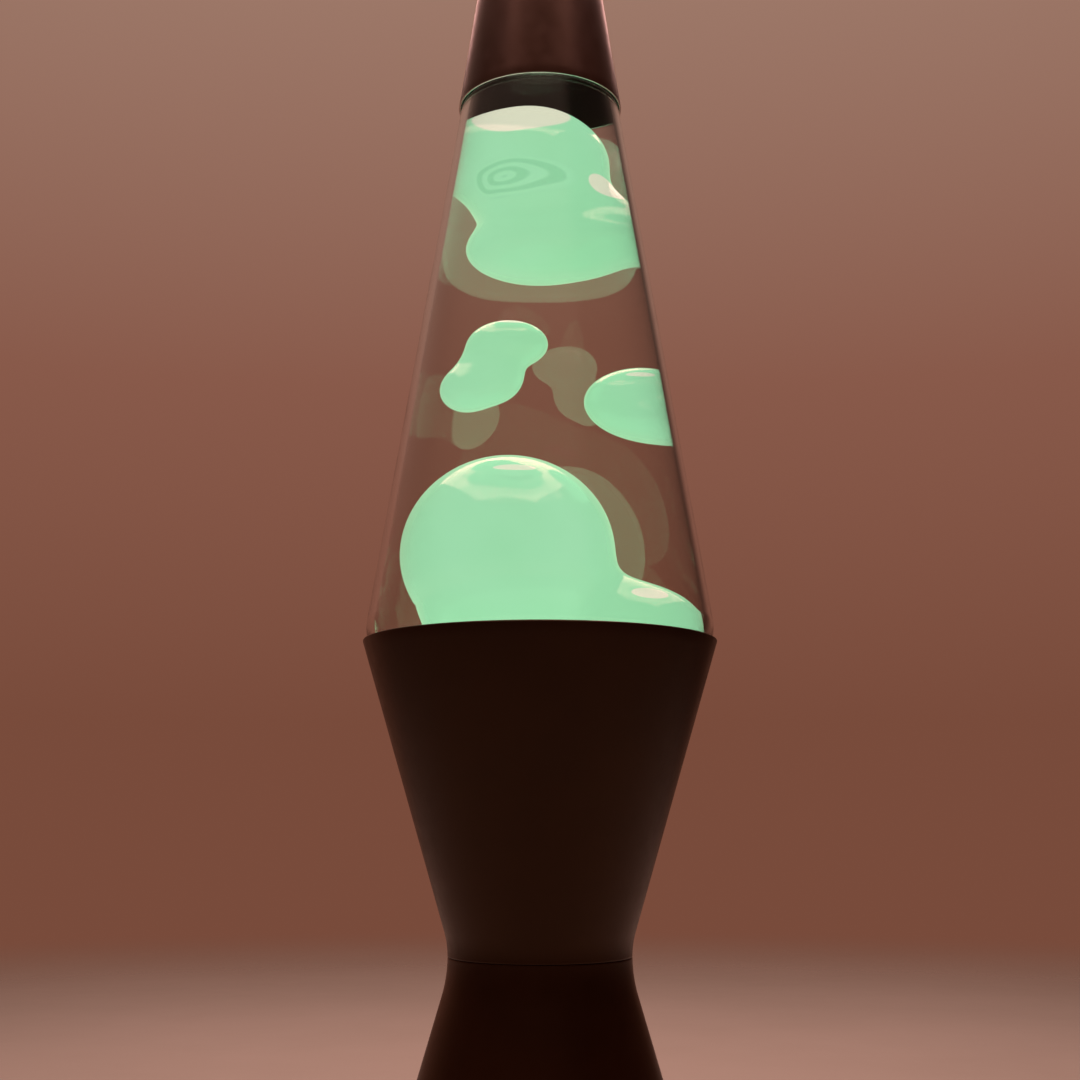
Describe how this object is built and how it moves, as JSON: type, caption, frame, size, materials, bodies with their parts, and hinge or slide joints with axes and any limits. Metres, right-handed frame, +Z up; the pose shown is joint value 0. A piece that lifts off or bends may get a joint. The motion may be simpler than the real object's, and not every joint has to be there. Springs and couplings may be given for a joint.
{
  "type": "lava lamp",
  "caption": "Hourglass metal base with a screw-in bulb, a tapering sealed glass globe of clear liquid and rising wax, and a conical lift-off metal cap.",
  "frame": {"origin": "middle of the plane under the four feet, on the lamp's axis", "axes": "+Z up along the lamp's axis, -Y to the front, +Y to the cord gland at the back"},
  "size_m": [0.0952, 0.0952, 0.367],
  "materials": {
    "paint": "dark brown satin paint over spun aluminium",
    "glass": "clear and polished",
    "liquid": "clear water-like liquid",
    "wax": "smooth, glowing mint-green wax",
    "steel": "zinc plated",
    "crown_steel": "tin plated and lacquered",
    "brass": "plain brass",
    "rubber": "matt black",
    "phenolic": "black phenolic moulding",
    "black_glass": "black glass",
    "solder": "soft solder",
    "tungsten": "drawn wire"
  },
  "bodies": {
    "base": {"upper_cone": "paint", "lower_cone": "paint", "cord_gland": "rubber", "waist_screw_1": "steel", "waist_screw_2": "steel", "waist_screw_3": "steel", "waist_nut_1": "steel", "waist_nut_2": "steel", "waist_nut_3": "steel", "bottom_plate": "steel", "bottom_screw_1": "steel", "bottom_screw_2": "steel", "bottom_screw_3": "steel", "foot_1": "rubber", "foot_2": "rubber", "foot_3": "rubber", "foot_4": "rubber", "nipple": "steel", "nipple_nut_1": "steel", "nipple_nut_2": "steel", "nipple_nut_3": "steel", "nipple_nut_4": "steel", "lock_washer": "steel", "socket_body": "phenolic", "socket_shell": "brass", "socket_contact": "brass", "socket_rivet": "brass", "socket_cup": "steel", "terminal_screw_1": "brass", "terminal_screw_2": "brass"},
    "bulb_centre": {"bulb_contact": "solder", "bulb_insulator": "black_glass"},
    "bulb": {"bulb_glass": "glass", "bulb_shell": "brass", "bulb_stem": "glass", "bulb_filament": "tungsten"},
    "globe": {"glass_globe": "glass", "crown_cap": "crown_steel", "crown_liner": "rubber", "liquid": "liquid", "heat_coil": "steel", "wax_bottom": "wax"},
    "wax_top": {"wax_top": "wax"},
    "wax_left": {"wax_left": "wax"},
    "wax_right": {"wax_right": "wax"},
    "cap": {"top_cap": "paint"}
  },
  "joints": [
    {"name": "globe_lift", "type": "slide", "parent": "base", "child": "globe", "axis": [0, 0, 1], "range_m": [0, 0.06]},
    {"name": "cap_lift", "type": "slide", "parent": "globe", "child": "cap", "axis": [0, 0, 1], "range_m": [0, 0.06]},
    {"name": "bulb_rise", "type": "slide", "parent": "base", "child": "bulb_centre", "axis": [0, 0, 1], "range_m": [0, 0.00981]},
    {"name": "bulb_turn", "type": "hinge", "parent": "bulb_centre", "child": "bulb", "pos_m": [0, 0, 0.062], "axis": [0, 0, 1], "range_deg": [0, 1260]},
    {"name": "wax_top_drift", "type": "slide", "parent": "globe", "child": "wax_top", "axis": [0, 0, 1], "range_m": [-0.006, 0], "deforming": ["liquid"]},
    {"name": "wax_left_drift", "type": "slide", "parent": "globe", "child": "wax_left", "axis": [0, 0, 1], "range_m": [-0.01, 0.002], "deforming": ["liquid"]},
    {"name": "wax_right_drift", "type": "slide", "parent": "globe", "child": "wax_right", "axis": [0, 0, 1], "range_m": [-0.012, 0.002], "deforming": ["liquid"]}
  ],
  "couplings": [
    {"joint": "bulb_rise", "follows": "bulb_turn", "m_per_rad": 0.00044563}
  ]
}
